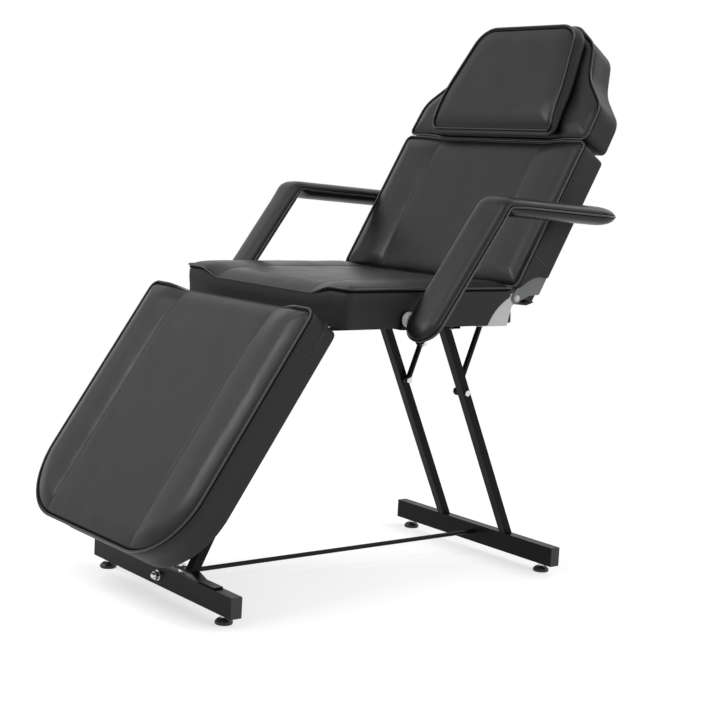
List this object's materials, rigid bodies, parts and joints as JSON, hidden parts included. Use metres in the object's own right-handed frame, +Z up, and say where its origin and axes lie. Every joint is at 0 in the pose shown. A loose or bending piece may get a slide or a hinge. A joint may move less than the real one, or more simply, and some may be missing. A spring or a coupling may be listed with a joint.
{
  "type": "tattoo chair",
  "caption": "Padded tattoo and facial chair with a reclining back, head section and pillow, a lifting leg rest, fold-back arms and a black steel tube base.",
  "frame": {"origin": "on the floor, under the middle of the chair's bounding box in its pictured pose", "axes": "+Z up, +X towards the sitter's left, +Y from the foot end to the head end"},
  "size_m": [0.806, 1.2301, 1.2326],
  "materials": {
    "upholstery": "black synthetic leather, satin",
    "board": "plywood",
    "black_plastic": "moulded",
    "frame_paint": "black powder coat",
    "plate_paint": "light grey paint",
    "white_nylon": "white nylon",
    "bright_steel": "bright plated",
    "zinc_steel": "zinc plated"
  },
  "bodies": {
    "chair": {"arm_mount_plates": "frame_paint", "arm_pivot_bolts": "bright_steel", "arm_washers": "white_nylon", "back_hinge_rivets": "bright_steel", "bar_end_caps": "black_plastic", "foot_nuts": "bright_steel", "foot_plate_bolts": "bright_steel", "front_foot_bar": "frame_paint", "front_foot_plate": "frame_paint", "front_leg_left": "frame_paint", "front_leg_right": "frame_paint", "leg_hinge_pins": "zinc_steel", "leg_hinge_seat_leaves": "zinc_steel", "rear_foot_bar": "frame_paint", "rear_leg_left": "frame_paint", "rear_leg_right": "frame_paint", "seat_board": "board", "seat_board_screws": "zinc_steel", "seat_cross_front": "frame_paint", "seat_cross_rear": "frame_paint", "seat_cushion": "upholstery", "seat_hinge_plate_left": "plate_paint", "seat_hinge_plate_right": "plate_paint", "seat_rail_left": "frame_paint", "seat_rail_right": "frame_paint", "stay_bolts": "bright_steel", "stay_spacers": "frame_paint", "stretcher_nuts": "bright_steel", "stretcher_rod": "bright_steel"},
    "back": {"back_board": "board", "back_cushion": "upholstery", "head_board": "board", "head_cushion": "upholstery", "head_straps": "frame_paint", "back_hinge_plate_left": "plate_paint", "back_hinge_plate_right": "plate_paint", "stay_brackets": "frame_paint", "stay_bracket_bolts": "bright_steel", "back_screws": "zinc_steel"},
    "pillow": {"head_pillow": "upholstery"},
    "leg_rest": {"leg_board": "board", "leg_cushion": "upholstery", "leg_hinge_leg_leaves": "zinc_steel", "leg_board_screws": "zinc_steel"},
    "left_arm": {"arm_core_left": "frame_paint", "arm_post_pad_left": "upholstery", "arm_top_pad_left": "upholstery"},
    "left_arm_lock": {"arm_lock_pin_left": "bright_steel"},
    "left_stay_tube": {"stay_tube_left": "frame_paint"},
    "left_stay_rod": {"stay_rod_left": "bright_steel"},
    "right_arm": {"arm_core_right": "frame_paint", "arm_post_pad_right": "upholstery", "arm_top_pad_right": "upholstery"},
    "right_arm_lock": {"arm_lock_pin_right": "bright_steel"},
    "right_stay_tube": {"stay_tube_right": "frame_paint"},
    "right_stay_rod": {"stay_rod_right": "bright_steel"},
    "front_left_foot": {"levelling_foot_front_left": "black_plastic"},
    "front_right_foot": {"levelling_foot_front_right": "black_plastic"},
    "rear_left_foot": {"levelling_foot_rear_left": "black_plastic"},
    "rear_right_foot": {"levelling_foot_rear_right": "black_plastic"}
  },
  "joints": [
    {"name": "back_recline", "type": "hinge", "parent": "chair", "child": "back", "pos_m": [0, 0.23914, 0.634], "axis": [1, 0, 0], "range_deg": [-60.5, 6]},
    {"name": "leg_rest_lift", "type": "hinge", "parent": "chair", "child": "leg_rest", "pos_m": [0, -0.22919, 0.569], "axis": [1, 0, 0], "range_deg": [-56, 10]},
    {"name": "pillow_lift", "type": "slide", "parent": "back", "child": "pillow", "axis": [0, -0.8704, 0.4924], "range_m": [0, 0.06]},
    {"name": "left_arm_fold", "type": "hinge", "parent": "chair", "child": "left_arm", "pos_m": [0.31, -0.06919, 0.596], "axis": [1, 0, 0], "range_deg": [-90, 0]},
    {"name": "left_arm_lock_pull", "type": "slide", "parent": "left_arm", "child": "left_arm_lock", "axis": [1, 0, 0], "range_m": [0, 0.007], "stiffness_N_per_m": 800, "springref_m": -0.004},
    {"name": "left_stay_swing", "type": "hinge", "parent": "chair", "child": "left_stay_tube", "pos_m": [0.088, 0.26724, 0.402], "axis": [1, 0, 0], "range_deg": [-31, 3.5]},
    {"name": "left_stay_slide", "type": "slide", "parent": "left_stay_tube", "child": "left_stay_rod", "axis": [0, 0.3551, 0.9348], "range_m": [-0.162, 0.0165]},
    {"name": "right_arm_fold", "type": "hinge", "parent": "chair", "child": "right_arm", "pos_m": [-0.31, -0.06919, 0.596], "axis": [1, 0, 0], "range_deg": [-90, 0]},
    {"name": "right_arm_lock_pull", "type": "slide", "parent": "right_arm", "child": "right_arm_lock", "axis": [-1, 0, 0], "range_m": [0, 0.007], "stiffness_N_per_m": 800, "springref_m": -0.004},
    {"name": "right_stay_swing", "type": "hinge", "parent": "chair", "child": "right_stay_tube", "pos_m": [-0.088, 0.26724, 0.402], "axis": [1, 0, 0], "range_deg": [-31, 3.5]},
    {"name": "right_stay_slide", "type": "slide", "parent": "right_stay_tube", "child": "right_stay_rod", "axis": [0, 0.3551, 0.9348], "range_m": [-0.162, 0.0165]},
    {"name": "front_left_foot_turn_out", "type": "slide", "parent": "chair", "child": "front_left_foot", "axis": [0, 0, -1], "range_m": [0, 0.012]},
    {"name": "front_right_foot_turn_out", "type": "slide", "parent": "chair", "child": "front_right_foot", "axis": [0, 0, -1], "range_m": [0, 0.012]},
    {"name": "rear_left_foot_turn_out", "type": "slide", "parent": "chair", "child": "rear_left_foot", "axis": [0, 0, -1], "range_m": [0, 0.012]},
    {"name": "rear_right_foot_turn_out", "type": "slide", "parent": "chair", "child": "rear_right_foot", "axis": [0, 0, -1], "range_m": [0, 0.012]}
  ],
  "couplings": [
    {"joint": "left_stay_swing", "follows": "back_recline", "ratio": 0.505},
    {"joint": "left_stay_slide", "follows": "back_recline", "m_per_rad": 0.1525},
    {"joint": "right_stay_swing", "follows": "back_recline", "ratio": 0.505},
    {"joint": "right_stay_slide", "follows": "back_recline", "m_per_rad": 0.1525}
  ]
}
